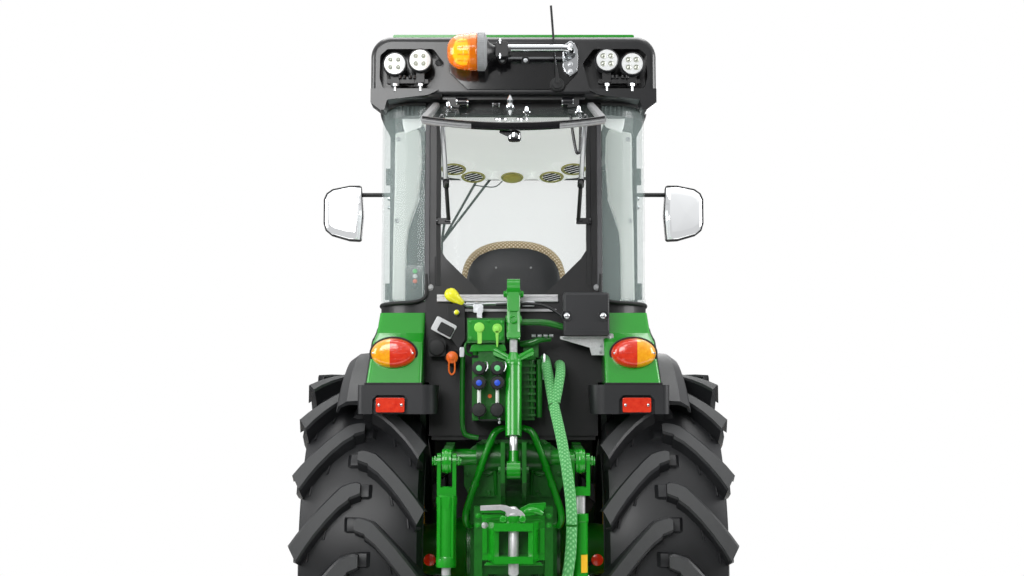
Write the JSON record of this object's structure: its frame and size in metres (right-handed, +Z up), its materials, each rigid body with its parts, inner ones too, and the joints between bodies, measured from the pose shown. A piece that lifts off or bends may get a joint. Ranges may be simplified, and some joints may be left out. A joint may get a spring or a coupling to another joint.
{
  "type": "narrow farm tractor with cab",
  "caption": "Narrow orchard tractor with cab, four driven wheels with cleated tyres, steered front axle, opening doors and hood, and a rear three-point linkage.",
  "frame": {"origin": "on the ground, half way along the tractor and half way across it", "axes": "+Y forward travel, +X to the right, +Z up"},
  "size_m": [1.752, 4.01, 2.5733],
  "materials": {
    "green_paint": "gloss",
    "yellow_paint": "gloss",
    "tyre": "matte",
    "black_metal": "satin",
    "green_casting": "satin",
    "grey_casting": "matte",
    "dark_moulding": "matte",
    "pale_liner": "matte",
    "clear_glass": "gloss",
    "steel": "satin",
    "lamp_lens": "gloss",
    "red_lens": "gloss",
    "amber_lens": "gloss",
    "seat_cloth": "matte",
    "bracket_metal": "satin",
    "hose_sleeve": "matte"
  },
  "bodies": {
    "chassis": {"beacon": "amber_lens", "cab_fittings": "dark_moulding", "cab_floor": "black_metal", "cab_frame": "black_metal", "cab_glass": "clear_glass", "engine": "grey_casting", "exhaust": "steel", "fender_extensions": "dark_moulding", "front_axle": "green_casting", "front_support": "green_casting", "headliner": "pale_liner", "lift_hoses": "hose_sleeve", "lift_pipes": "green_paint", "mirrors": "dark_moulding", "pto_shaft": "steel", "rear_fenders": "green_paint", "rear_frame": "green_paint", "rear_window": "clear_glass", "remote_valves": "green_casting", "roof_base": "dark_moulding", "roof_brackets": "bracket_metal", "roof_top": "green_paint", "seat_cushions": "seat_cloth", "side_boxes": "dark_moulding", "steps": "black_metal", "tail_lamps": "red_lens", "trailer_coupler": "green_casting", "transmission": "green_casting", "valve_box": "dark_moulding", "window_stays": "black_metal", "work_lamps": "lamp_lens"},
    "rear_wheel_left": {"rear_tyre_left": "tyre", "rear_rim_left": "yellow_paint"},
    "rear_wheel_right": {"rear_tyre_right": "tyre", "rear_rim_right": "yellow_paint"},
    "front_wheel_left": {"front_tyre_left": "tyre", "front_rim_left": "yellow_paint"},
    "front_wheel_right": {"front_tyre_right": "tyre", "front_rim_right": "yellow_paint"},
    "steer_left": {"knuckle_left": "green_casting"},
    "steer_right": {"knuckle_right": "green_casting"},
    "door_left": {"door_left": "black_metal", "door_glass_left": "clear_glass"},
    "door_right": {"door_right": "black_metal", "door_glass_right": "clear_glass"},
    "hood": {"hood": "green_paint", "grille": "dark_moulding", "head_lamps": "lamp_lens"},
    "steering_wheel": {"steering_wheel": "dark_moulding"},
    "top_link": {"top_link": "green_paint"},
    "lift_arms": {"lift_arms": "green_paint"},
    "lift_rod_left": {"lift_rod_left": "green_paint"},
    "lift_rod_right": {"lift_rod_right": "green_paint"},
    "lower_link_left": {"lower_link_left": "green_paint"},
    "lower_link_right": {"lower_link_right": "green_paint"}
  },
  "joints": [
    {"name": "rear_left_spin", "type": "hinge", "parent": "chassis", "child": "rear_wheel_left", "pos_m": [-0.511, -0.96, 0.65], "axis": [1, 0, 0], "continuous": true},
    {"name": "steer_left", "type": "hinge", "parent": "chassis", "child": "steer_left", "pos_m": [-0.47, 1.22, 0.476], "axis": [0, 0, 1], "range_deg": [-38, 38]},
    {"name": "front_left_spin", "type": "hinge", "parent": "steer_left", "child": "front_wheel_left", "pos_m": [-0.575, 1.22, 0.476], "axis": [1, 0, 0], "continuous": true},
    {"name": "door_left", "type": "hinge", "parent": "chassis", "child": "door_left", "pos_m": [-0.489, -0.786, 1.6], "axis": [0, 0, 1], "range_deg": [0, 75]},
    {"name": "lift_rod_left", "type": "hinge", "parent": "lift_arms", "child": "lift_rod_left", "pos_m": [-0.2175, -1.58, 1], "axis": [-1, 0, 0], "range_deg": [-38, 15]},
    {"name": "lower_link_left", "type": "hinge", "parent": "chassis", "child": "lower_link_left", "pos_m": [-0.2175, -1.13, 0.43], "axis": [-1, 0, 0], "range_deg": [-10, 25]},
    {"name": "rear_right_spin", "type": "hinge", "parent": "chassis", "child": "rear_wheel_right", "pos_m": [0.511, -0.96, 0.65], "axis": [1, 0, 0], "continuous": true},
    {"name": "steer_right", "type": "hinge", "parent": "chassis", "child": "steer_right", "pos_m": [0.47, 1.22, 0.476], "axis": [0, 0, 1], "range_deg": [-38, 38]},
    {"name": "front_right_spin", "type": "hinge", "parent": "steer_right", "child": "front_wheel_right", "pos_m": [0.575, 1.22, 0.476], "axis": [1, 0, 0], "continuous": true},
    {"name": "door_right", "type": "hinge", "parent": "chassis", "child": "door_right", "pos_m": [0.489, -0.786, 1.6], "axis": [0, 0, -1], "range_deg": [0, 75]},
    {"name": "lift_rod_right", "type": "hinge", "parent": "lift_arms", "child": "lift_rod_right", "pos_m": [0.2175, -1.58, 1], "axis": [-1, 0, 0], "range_deg": [-38, 15]},
    {"name": "lower_link_right", "type": "hinge", "parent": "chassis", "child": "lower_link_right", "pos_m": [0.2175, -1.13, 0.43], "axis": [-1, 0, 0], "range_deg": [-10, 25]},
    {"name": "hood", "type": "hinge", "parent": "chassis", "child": "hood", "pos_m": [0, 0.22, 1.378], "axis": [1, 0, 0], "range_deg": [0, 45]},
    {"name": "lift", "type": "hinge", "parent": "chassis", "child": "lift_arms", "pos_m": [0, -1.29, 1], "axis": [-1, 0, 0], "range_deg": [-15, 40]},
    {"name": "top_link", "type": "hinge", "parent": "chassis", "child": "top_link", "pos_m": [0, -1.56, 0.97], "axis": [1, 0, 0], "range_deg": [0, 105]},
    {"name": "steering_wheel", "type": "hinge", "parent": "chassis", "child": "steering_wheel", "pos_m": [0, -0.17, 1.44], "axis": [0, -0.5888, 0.8083], "continuous": true}
  ],
  "couplings": [
    {"joint": "steer_right", "follows": "steer_left", "ratio": 1},
    {"joint": "lower_link_left", "follows": "lift", "ratio": 0.6},
    {"joint": "lift_rod_left", "follows": "lift", "ratio": -0.93},
    {"joint": "lower_link_right", "follows": "lift", "ratio": 0.6},
    {"joint": "lift_rod_right", "follows": "lift", "ratio": -0.93}
  ]
}
